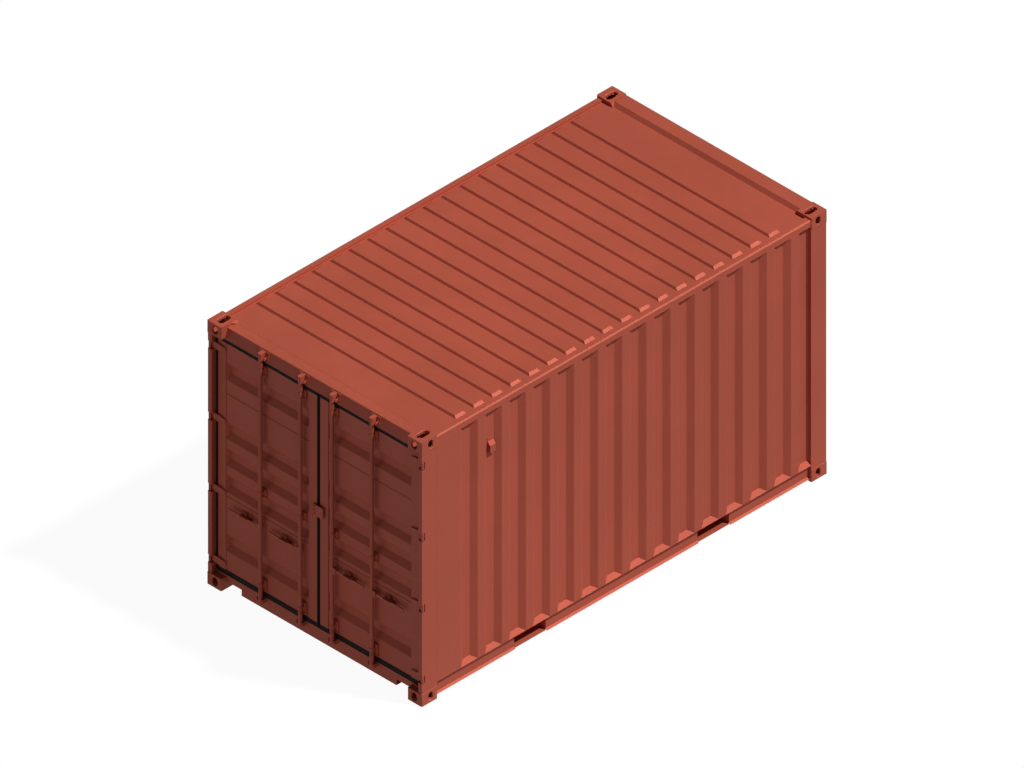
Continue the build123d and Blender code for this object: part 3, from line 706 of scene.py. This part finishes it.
def hinge_welds(side):
    """A bead along each hinge blade's foot, tip and top edge on the leaf."""
    word = leaf_word(side)
    y = DOOR + LEAF_FACE
    start = side * HINGE_WELD_START
    shoulder = side * HINGE_SHOULDER
    tip = side * HINGE_TIP
    beads = []
    for i in range(HINGES):
        z = HINGE_FIRST + i * HINGE_PITCH
        beads.append([(start, y, z + HINGE_HALF), (shoulder, y, z + HINGE_HALF),
                      (tip, y, z + HINGE_TIP_HALF), (tip, y, z - HINGE_TIP_HALF),
                      (shoulder, y, z - HINGE_HALF), (start, y, z - HINGE_HALF)])
    WELD.grow(f"hinge_welds_{word}", lines_mesh("weld_lines", beads), MATERIALS["gear_paint"],
              f"door_{word}", "gear_paint", Bead=0.0028, Ripple=0.0055, Seed=11)


for side in (-1, 1):
    seal_ring(side)
    panel_laps(side)
    gear_fixings(side)
    hinge_welds(side)


# Fittings: the castings with a broad bevel round each aperture
def slot_outline(size, grow):
    """A round-ended slot's outline, long way first, made larger all round."""
    run = (size[0] - size[1]) / 2
    radius = size[1] / 2 + grow
    steps = 10
    points = []
    for end, start in ((1, -90), (-1, 90)):
        for i in range(steps + 1):
            angle = math.radians(start + 180 * i / steps)
            points.append((end * run + radius * math.cos(angle), radius * math.sin(angle)))
    return points


def aperture_plugs(way, up):
    """Tapering plugs at the three apertures of each casting of a pair."""
    along_x, along_y, along_z = Vector((1, 0, 0)), Vector((0, 1, 0)), Vector((0, 0, 1))
    lift_face = TOP if up else 0.0
    lift_bevel = 0.005 if up else 0.001
    lift_way = along_z * (1 if up else -1)
    y = way * (END - 0.1015)
    z = TOP - FITTING_TALL / 2 if up else FITTING_TALL / 2
    proud = 0.001
    plugs = bmesh.new()
    for side in (-1, 1):
        x = side * (SIDE - 0.089)
        lift = Vector((x, y, lift_face))
        flank = Vector((side * SIDE, y, z))
        front = Vector((x, way * END, z))
        mouths = ((lift, lift_way, along_y, along_x, (0.124, 0.0635), lift_bevel),
                  (flank, along_x * side, along_z, along_y, (0.079, 0.051), 0.004),
                  (front, along_y * way, along_z, along_x, (0.079, 0.0635), 0.003))
        for middle, outwards, long_way, short_way, size, bevel in mouths:
            rings = []
            for out, grow in ((proud, bevel + proud), (-bevel, 0.0)):
                rings.append([middle + outwards * out + long_way * a + short_way * b
                              for a, b in slot_outline(size, grow)])
            add_prism(plugs, *rings)
    bmesh.ops.recalc_face_normals(plugs, faces=plugs.faces)
    return add_object("aperture_plugs", as_data("aperture_plugs", plugs))


def merged_copy(name):
    """A node's mesh with its loose triangles joined."""
    data = frame["nodes"][name].data.copy()
    whole = bmesh.new()
    whole.from_mesh(data)
    bmesh.ops.remove_doubles(whole, verts=whole.verts, dist=0.00002)
    whole.to_mesh(data)
    whole.free()
    return data


def bevelled_fittings(end, way, level, up):
    """A pair of castings, cut by a tapering plug at each aperture."""
    name = f"corner_fittings_{end}_{level}"
    cutter = aperture_plugs(way, up)
    casting = add_object("casting_blank", merged_copy(name))
    cut = casting.modifiers.new("cut", "BOOLEAN")
    cut.object = cutter
    cut.operation = "DIFFERENCE"
    cut.solver = "EXACT"
    graph = bpy.context.evaluated_depsgraph_get()
    data = bpy.data.meshes.new_from_object(casting.evaluated_get(graph))
    for used in (cutter, casting):
        bpy.data.objects.remove(used)
    data.materials.clear()
    data.name = f"castings_{end}_{level}"
    piece = keep_piece(f"castings_{end}_{level}", data, MATERIALS["casting_paint"], "box",
                       (name,))
    break_edges(piece, 0.0022, 60)


for end, way in (("door", -1), ("end", 1)):
    for level, up in (("bottom", False), ("top", True)):
        bevelled_fittings(end, way, level, up)


# Gear: lock rods, handles, brackets, hinge blades and the plate that laps the leaves
def header_face(level):
    """How deep the header's leaning face is at a height."""
    return HEADER_LIP + HEADER_LEAN * (level - HEADER_FOOT)


def lock_rod(name, x, side):
    """A tube with sleeved ends, a cam at its foot, a tailed cap and a forked hub."""
    mesh = bmesh.new()
    cap_foot = ROD_HEAD - 0.052
    add_drum(mesh, x, ROD_RADIUS, ROD_FOOT, cap_foot)
    for low, high in ((ROD_FOOT, 0.238), (TOP - 0.196, cap_foot)):
        add_drum(mesh, x, SLEEVE_RADIUS, low, high)
    header_gap = 0.011
    rings = []
    for level in (cap_foot, ROD_HEAD):
        back = header_face(level) - header_gap
        outline = arc(x, ROD_DEPTH, CAP_RADIUS, 180, 360, 14)
        outline += [(x + CAP_RADIUS, back), (x - CAP_RADIUS, back)]
        rings.append([(across, DOOR + depth, level) for across, depth in outline])
    add_prism(mesh, *rings)
    cam_half = 0.008
    add_bar(mesh, (x - cam_half, x + cam_half), (ROD_DEPTH, ROD_DEPTH + 0.023), (0.112, 0.132))
    for near, far in ((-FORK_OUTER, -FORK_INNER), (FORK_INNER, FORK_OUTER)):
        add_bar(mesh, (x, x + side * HUB_REACH), (ROD_DEPTH + near, ROD_DEPTH + far),
                (HANDLE_LEVEL - HUB_HALF, HANDLE_LEVEL + HUB_HALF))
    make_piece(f"rod_tube_{name}", mesh, f"rod_{name}", "gear_paint", 0.0008, (f"lock_rod_{name}",))


def rod_handle(name, x, side):
    """A flat bar with a notched hasp plate on it."""
    mesh = bmesh.new()
    top = HANDLE_LEVEL + HANDLE_HALF
    bar_half = 0.005
    gauge = 0.004
    add_bar(mesh, (x + side * HANDLE_ROOT, x + side * HANDLE_END),
            (ROD_DEPTH - bar_half, ROD_DEPTH + bar_half), (HANDLE_LEVEL - HANDLE_HALF, top))
    middle = x + side * HASP_REACH
    plate = [(-0.045, 0.002), (0.045, 0.002), (0.045, 0.042), (0.020, 0.042), (0.020, 0.027),
             (-0.020, 0.027), (-0.020, 0.042), (-0.045, 0.042)]
    add_plan(mesh, [(middle + across, depth) for across, depth in plate], top, top + gauge)
    make_piece(f"grip_bar_{name}", mesh, f"grip_{name}", "gear_paint", 0.0008, (f"handle_{name}",))


def leaf_gear(side):
    """Bearing brackets, and the retainers that the handles rest on."""
    word = leaf_word(side)
    web_radius = 0.0185
    web_back = BRACKET_FACE + 0.001
    ledge = HANDLE_LEVEL - 0.020
    mesh = bmesh.new()
    for _, x in rods_on(side):
        for level, tall in BRACKETS:
            low = level - BEARING_HALF
            high = level + BEARING_HALF
            add_bar(mesh, (x - BRACKET_HALF, x + BRACKET_HALF), (BRACKET_FACE, PANEL_FACE),
                    (level - tall / 2, level + tall / 2))
            add_collar(mesh, x, ROD_DEPTH, BEARING_INNER, BEARING_OUTER, low, high)
            web = arc(x, ROD_DEPTH, web_radius, 0, 180, 12)
            web += [(x - BEARING_OUTER, web_back), (x + BEARING_OUTER, web_back)]
            add_plan(mesh, web, low, high)
        middle = x + side * HASP_REACH
        wide = (middle - RETAINER_HALF, middle + RETAINER_HALF)
        add_bar(mesh, wide, (RETAINER_FACE, PANEL_FACE), (ledge, ledge + 0.060))
        add_bar(mesh, wide, (0.020, PANEL_FACE), (ledge, ledge + 0.006))
        add_bar(mesh, (middle - 0.014, middle + 0.014), (0.032, 0.040),
                (ledge, HANDLE_LEVEL + 0.043))
    make_piece(f"leaf_gear_{word}", mesh, f"door_{word}", "gear_paint", 0.0007,
               (f"rod_brackets_{word}",))


def hinge_straps(side):
    """Gooseneck blades: a knuckle, a neck, and a strap that thins and narrows along the leaf."""
    word = leaf_word(side)
    tip_face = 0.0395
    knuckle = 0.013
    knuckle_half = 0.034
    stations = ((HINGE_ROOT, BLADE_FACE, HINGE_HALF), (HINGE_SHOULDER, BLADE_FACE, HINGE_HALF),
                (HINGE_TIP, tip_face, HINGE_TIP_HALF))
    mesh = bmesh.new()
    for i in range(HINGES):
        z = HINGE_FIRST + i * HINGE_PITCH
        rings = []
        for x, front, half in stations:
            corners = ((front, z - half), (LEAF_FACE, z - half), (LEAF_FACE, z + half),
                       (front, z + half))
            rings.append([mesh.verts.new((side * x, DOOR + d, level)) for d, level in corners])
        for near, far in zip(rings, rings[1:]):
            for j in range(4):
                k = (j + 1) % 4
                mesh.faces.new((near[j], near[k], far[k], far[j]))
        mesh.faces.new(rings[0])
        mesh.faces.new(rings[-1])
        add_bar(mesh, (side * (HINGE_AXIS - knuckle), side * HINGE_ROOT), (BLADE_FACE, LEAF_FACE),
                (z - HINGE_HALF, z + HINGE_HALF))
        add_collar(mesh, side * HINGE_AXIS, HINGE_PIN, 0.0084, knuckle, z - knuckle_half,
                   z + knuckle_half)
    make_piece(f"hinge_straps_{word}", mesh, f"door_{word}", "gear_paint", 0.0008,
               (f"hinge_blades_{word}",))


def lap_plate():
    mesh = bmesh.new()
    add_bar(mesh, (OVERLAP_LEFT, 0.068), (OVERLAP_FACE, OVERLAP_BACK), OVERLAP_SPAN)
    add_bar(mesh, (OVERLAP_LEFT, -0.0185), (OVERLAP_BACK, LEAF_FACE), OVERLAP_SPAN)
    make_piece("lap_plate", mesh, "door_left", "gear_paint", 0.0012, ("overlap_plate",))


def cam_keepers():
    """Cheeks astride each rod's foot, and a plate with two jaws under each rod's cap."""
    mesh = bmesh.new()
    foot = TOP - 0.103
    head = TOP - 0.045
    jaw_head = foot + 0.022
    gauge = 0.006
    plate_half = 0.058
    plate = [(header_face(foot), foot), (header_face(head), head),
             (header_face(head) - gauge, head), (header_face(foot) - gauge, foot)]
    jaw = [(ROD_DEPTH, foot), (ROD_DEPTH, jaw_head), (header_face(jaw_head), jaw_head),
           (header_face(foot), foot)]
    cheeks = [(-KEEPER_HALF, 0.006), (-0.028, 0.006), (-0.028, 0.045), (0.028, 0.045),
              (0.028, 0.006), (KEEPER_HALF, 0.006), (KEEPER_HALF, SILL_FACE),
              (-KEEPER_HALF, SILL_FACE)]
    for _, x in RODS:
        add_plan(mesh, [(x + across, depth) for across, depth in cheeks], ROD_FOOT, SILL_TOP)
        add_section(mesh, plate, x - plate_half, x + plate_half)
        for inner in (x - 0.041, x + 0.033):
            add_section(mesh, jaw, inner, inner + 0.008)
    make_piece("cam_keepers", mesh, "box", "gear_paint", 0.0008, ("rod_keepers",))


def pin_heads(name, x, side):
    """The heads of the pin on which a handle lifts."""
    spots = [(x + side * HUB_PIVOT, DOOR + ROD_DEPTH + reach, HANDLE_LEVEL)
             for reach in (-FORK_OUTER, FORK_OUTER)]
    RIVET.grow(f"hub_pin_{name}", points_mesh("pin_points", spots), MATERIALS["gear_paint"],
               f"rod_{name}", "gear_paint", Turn=FORWARD, Radius=0.0075)


for side in (-1, 1):
    for name, x in rods_on(side):
        lock_rod(name, x, side)
        rod_handle(name, x, side)
for side in (-1, 1):
    leaf_gear(side)
    hinge_straps(side)
lap_plate()
cam_keepers()
for side in (-1, 1):
    for name, x in rods_on(side):
        pin_heads(name, x, side)


# Frame: beads round the posts and lugs, the roof's folded plates and the gussets by the fittings
def frame_welds():
    lines = []
    for side in (-1, 1):
        out = side * POST_OUT
        inside = side * POST_IN
        front = DOOR + 0.006
        step = DOOR + FITTING_LONG
        near = END - FITTING_LONG
        back = END - 0.004
        inner = back - 0.044
        far = side * (SIDE - FITTING_WIDE)
        for z in (FITTING_TALL, TOP - FITTING_TALL):
            door_post = ((inside, front), (out, front), (out, step), (inside, step),
                         (inside, front))
            end_post = ((out, near), (out, back), (far, back), (far, inner), (inside, inner),
                        (inside, near), (out, near))
            for post in (door_post, end_post):
                lines.append([(x, y, z) for x, y in post])
        rail = side * (SIDE - 0.006)
        rail_in = side * (SIDE - 0.066)
        for y in (step, near):
            lines.append([(rail, y, TOP - 0.078), (rail, y, TOP - 0.029),
                          (side * (SIDE - 0.017), y, RAIL_TOP), (rail_in, y, RAIL_TOP),
                          (rail_in, y, ROOF)])
    WELD.grow("frame_welds", lines_mesh("frame_lines", lines), MATERIALS["body_paint"], "box",
              "body_paint")


def keeper_welds():
    lines = []
    y = DOOR + SILL_FACE
    for _, x in RODS:
        for across in (-KEEPER_HALF, KEEPER_HALF):
            lines.append([(x + across, y, 0.104), (x + across, y, 0.137)])
    WELD.grow("keeper_welds", lines_mesh("keeper_lines", lines), MATERIALS["gear_paint"], "box",
              "gear_paint", Bead=0.0028, Ripple=0.0055, Seed=7)


def corner_gussets():
    """A folded corner of plate from each top fitting's inner edge down to the roof."""
    top = TOP - 0.004
    spread = 0.026
    mesh = bmesh.new()
    for side in (-1, 1):
        inner = side * (SIDE - FITTING_WIDE)
        foot = side * (SIDE - FITTING_WIDE - spread)
        for near, far in ((DOOR + FITTING_LONG, DOOR + 0.112), (END - FITTING_LONG, END - 0.137)):
            corners = [(inner, near, ROOF), (foot, near, ROOF), (inner, far, ROOF),
                       (inner, near, top), (inner, far, top)]
            a, b, c, d, e = [mesh.verts.new(point) for point in corners]
            for face in ((a, b, c), (a, d, b), (a, c, e, d), (d, e, b), (b, e, c)):
                mesh.faces.new(face)
    make_piece("corner_gussets", mesh, "box", "body_paint")


def roof_cap():
    """The header's plate that laps over the roof sheet, with thin folded edges."""
    half = SIDE - FITTING_WIDE - 0.001
    front = DOOR + 0.0745
    back = DOOR + 0.146
    gauge = 0.002
    outline = [(front, ROOF), (front + 0.002, ROOF + gauge),
               (back - 0.006, ROOF + gauge), (back, ROOF)]
    mesh = bmesh.new()
    add_across(mesh, outline, -half, half)
    make_piece("header_cap", mesh, "box", "body_paint")


def end_header_slope():
    """A folded plate that leans from the roof up to the closed end's header."""
    foot = TOP - 0.0365
    head = TOP - 0.0058
    back = END - 0.1355
    half = SIDE - FITTING_WIDE - 0.0005
    mesh = bmesh.new()
    add_across(mesh, [(back - 0.031, foot), (back, foot), (back, head)], -half, half)
    make_piece("end_header_slope", mesh, "box", "body_paint")


frame_welds()
keeper_welds()
corner_gussets()
roof_cap()
end_header_slope()


# Ventilators: a sloping cap and cheeks on a flange, with a woven screen across the open foot
def ventilator_boxes():
    mesh = bmesh.new()
    y0, y1 = VENT_SPAN
    gauge = 0.003
    brow = VENT_HEAD - 0.037
    flange_foot = VENT_FOOT - 0.012
    flange_head = VENT_HEAD + 0.027
    for side in (-1, 1):
        wall = side * VENT_WALL
        flange = side * VENT_FLANGE
        face = side * VENT_FACE
        back = side * (SIDE - 0.010)
        cheek = [(wall, VENT_FOOT), (face, VENT_FOOT), (face, brow), (wall, VENT_HEAD)]
        add_along(mesh, cheek, y0, y0 + gauge)
        add_along(mesh, cheek, y1 - gauge, y1)
        add_along(mesh, [(face, VENT_FOOT), (face, brow), (back, brow), (back, VENT_FOOT)], y0, y1)
        add_along(mesh, [(wall, VENT_HEAD), (face, brow), (face, brow - gauge),
                         (wall, VENT_HEAD - gauge)], y0, y1)
        add_along(mesh, [(wall, flange_foot), (flange, flange_foot), (flange, flange_head),
                         (wall, flange_head)], y0 - gauge, y1 + gauge)
    make_piece("ventilator_boxes", mesh, "box", "body_paint", 0.0006, ("ventilators",))


def ventilator_screens():
    """Wires both ways across each foot, the second layer on the first."""
    lines = []
    long_wires = 11
    short_wires = 6
    y0 = VENT_SPAN[0] + 0.003
    y1 = VENT_SPAN[1] - 0.003
    for side in (-1, 1):
        wall = side * VENT_WALL
        face = side * (SIDE - 0.0105)
        for i in range(long_wires):
            y = y0 + (y1 - y0) * i / (long_wires - 1)
            lines.append([(wall, y, VENT_FOOT + 0.006), (face, y, VENT_FOOT + 0.006)])
        for i in range(short_wires):
            x = wall + (face - wall) * i / (short_wires - 1)
            lines.append([(x, y0, VENT_FOOT + 0.0078), (x, y1, VENT_FOOT + 0.0078)])
    WIRE.grow("ventilator_screens", lines_mesh("screen_lines", lines), BOLT_STEEL, "box",
              "body_paint")


def ventilator_rivets(side):
    margin = 0.009
    spots = [(side * VENT_FLANGE, y, VENT_HEAD + 0.015)
             for y in (VENT_SPAN[0] + margin, VENT_SPAN[1] - margin)]
    RIVET.grow(f"ventilator_rivets_{leaf_word(side)}", points_mesh("vent_points", spots),
               MATERIALS["body_paint"], "box", "body_paint", Radius=0.004,
               Turn=(0.0, side * math.radians(90), 0.0))


ventilator_boxes()
ventilator_screens()
for side in (-1, 1):
    ventilator_rivets(side)


# Fork pockets: a channel under the floor for each arm, with a strap under each mouth
def fork_tunnels():
    mesh = bmesh.new()
    low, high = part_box("fork_pockets")
    foot = 0.022
    gauge = 0.004
    strap = 0.006
    half = 0.180
    roof = high[2]
    for middle in (-1.040, 1.040):
        y0 = middle - half
        y1 = middle + half
        outline = [(y0 - gauge, foot), (y0 - gauge, roof), (y1 + gauge, roof), (y1 + gauge, foot),
                   (y1, foot), (y1, roof - gauge), (y0, roof - gauge), (y0, foot)]
        add_across(mesh, outline, low[0], high[0])
        for side in (-1, 1):
            outer = side * (SIDE - 0.033)
            inner = side * (high[0] - 0.200)
            add_block(mesh, (min(outer, inner), y0, foot), (max(outer, inner), y1, foot + strap))
    make_piece("fork_tunnels", mesh, "box", "underframe_paint", 0.0008, ("fork_pockets",))


fork_tunnels()


# Stage: a pale floor that the camera sees white, with the box's faint shadow
def floor_material():
    """Darker to the box, which it lights evenly from below, than to the camera."""
    white_share = 0.95
    ground = Finish("stage_floor")
    ground.set(Base_Color=(0.05, 0.05, 0.05, 1), Roughness=0.9, Emission_Color=(1, 1, 1, 1),
               Emission_Strength=0.343)
    tree = ground.tree
    pale = tree.nodes.new("ShaderNodeBsdfDiffuse")
    pale.inputs["Color"].default_value = (1, 1, 1, 1)
    glow = tree.nodes.new("ShaderNodeEmission")
    glow.inputs["Color"].default_value = (1, 1, 1, 1)
    white = tree.nodes.new("ShaderNodeMixShader")
    white.inputs[0].default_value = white_share
    tree.links.new(pale.outputs[0], white.inputs[1])
    tree.links.new(glow.outputs[0], white.inputs[2])
    blend = tree.nodes.new("ShaderNodeMixShader")
    ground.feed(blend.inputs[0], ground.node("ShaderNodeLightPath", {}, {}, "Is Camera Ray"))
    tree.links.new(ground.shader.outputs[0], blend.inputs[1])
    tree.links.new(white.outputs[0], blend.inputs[2])
    tree.links.new(blend.outputs[0], tree.nodes["Material Output"].inputs["Surface"])
    return ground.material


def stage_floor():
    sheet = bmesh.new()
    half = 30.0
    signs = ((-1, -1), (1, -1), (1, 1), (-1, 1))
    sheet.faces.new([sheet.verts.new((x * half, y * half, 0)) for x, y in signs])
    floor = add_object("stage_floor", as_data("stage_floor", sheet))
    floor.data.materials.append(floor_material())


def sky():
    """A weak, slightly blue light on the box, behind which the camera sees white."""
    world = bpy.data.worlds.new("soft_sky")
    bpy.context.scene.world = world
    world.use_nodes = True
    tree = world.node_tree
    fill = tree.nodes["Background"]
    fill.inputs["Color"].default_value = (0.86, 0.94, 1, 1)
    fill.inputs["Strength"].default_value = 0.105
    white = tree.nodes.new("ShaderNodeBackground")
    white.inputs["Color"].default_value = (1, 1, 1, 1)
    path = tree.nodes.new("ShaderNodeLightPath")
    mix = tree.nodes.new("ShaderNodeMixShader")
    tree.links.new(path.outputs["Is Camera Ray"], mix.inputs[0])
    tree.links.new(fill.outputs[0], mix.inputs[1])
    tree.links.new(white.outputs[0], mix.inputs[2])
    tree.links.new(mix.outputs[0], tree.nodes["World Output"].inputs["Surface"])


def sun_lamp(name, strength, spread, colour, towards):
    lamp = bpy.data.lights.new(name, "SUN")
    lamp.energy = strength
    lamp.angle = math.radians(spread)
    lamp.color = colour
    sun = add_object(name, lamp)
    sun.rotation_mode = "QUATERNION"
    sun.rotation_quaternion = Vector(towards).to_track_quat("Z", "Y")


def camera():
    """A parallel view down the long diagonal, as the photograph has."""
    lens = bpy.data.cameras.new("camera")
    lens.type = "ORTHO"
    lens.ortho_scale = 8.218
    lens.clip_end = 100
    eye = add_object("camera", lens)
    azimuth = math.radians(45)
    elevation = math.radians(35.264)
    distance = 20
    level = math.cos(elevation)
    back = Vector((math.sin(azimuth) * level, -math.cos(azimuth) * level, math.sin(elevation)))
    right = Vector((math.cos(azimuth), math.sin(azimuth), 0))
    up = back.cross(right)
    aim = right * -0.0403 + up * 1.158
    eye.location = aim + back * distance
    eye.rotation_mode = "QUATERNION"
    eye.rotation_quaternion = back.to_track_quat("Z", "Y")
    bpy.context.scene.camera = eye


stage_floor()
sky()
sun_lamp("key_sun", strength=3.38, spread=3, colour=(1, 1, 1), towards=(0.476, 0.271, 0.837))
sun_lamp("fill_sun", strength=0.13, spread=24, colour=(0.85, 0.92, 1), towards=(-0.62, -0.78, 0.06))
camera()
bpy.context.scene.view_settings.view_transform = "Standard"
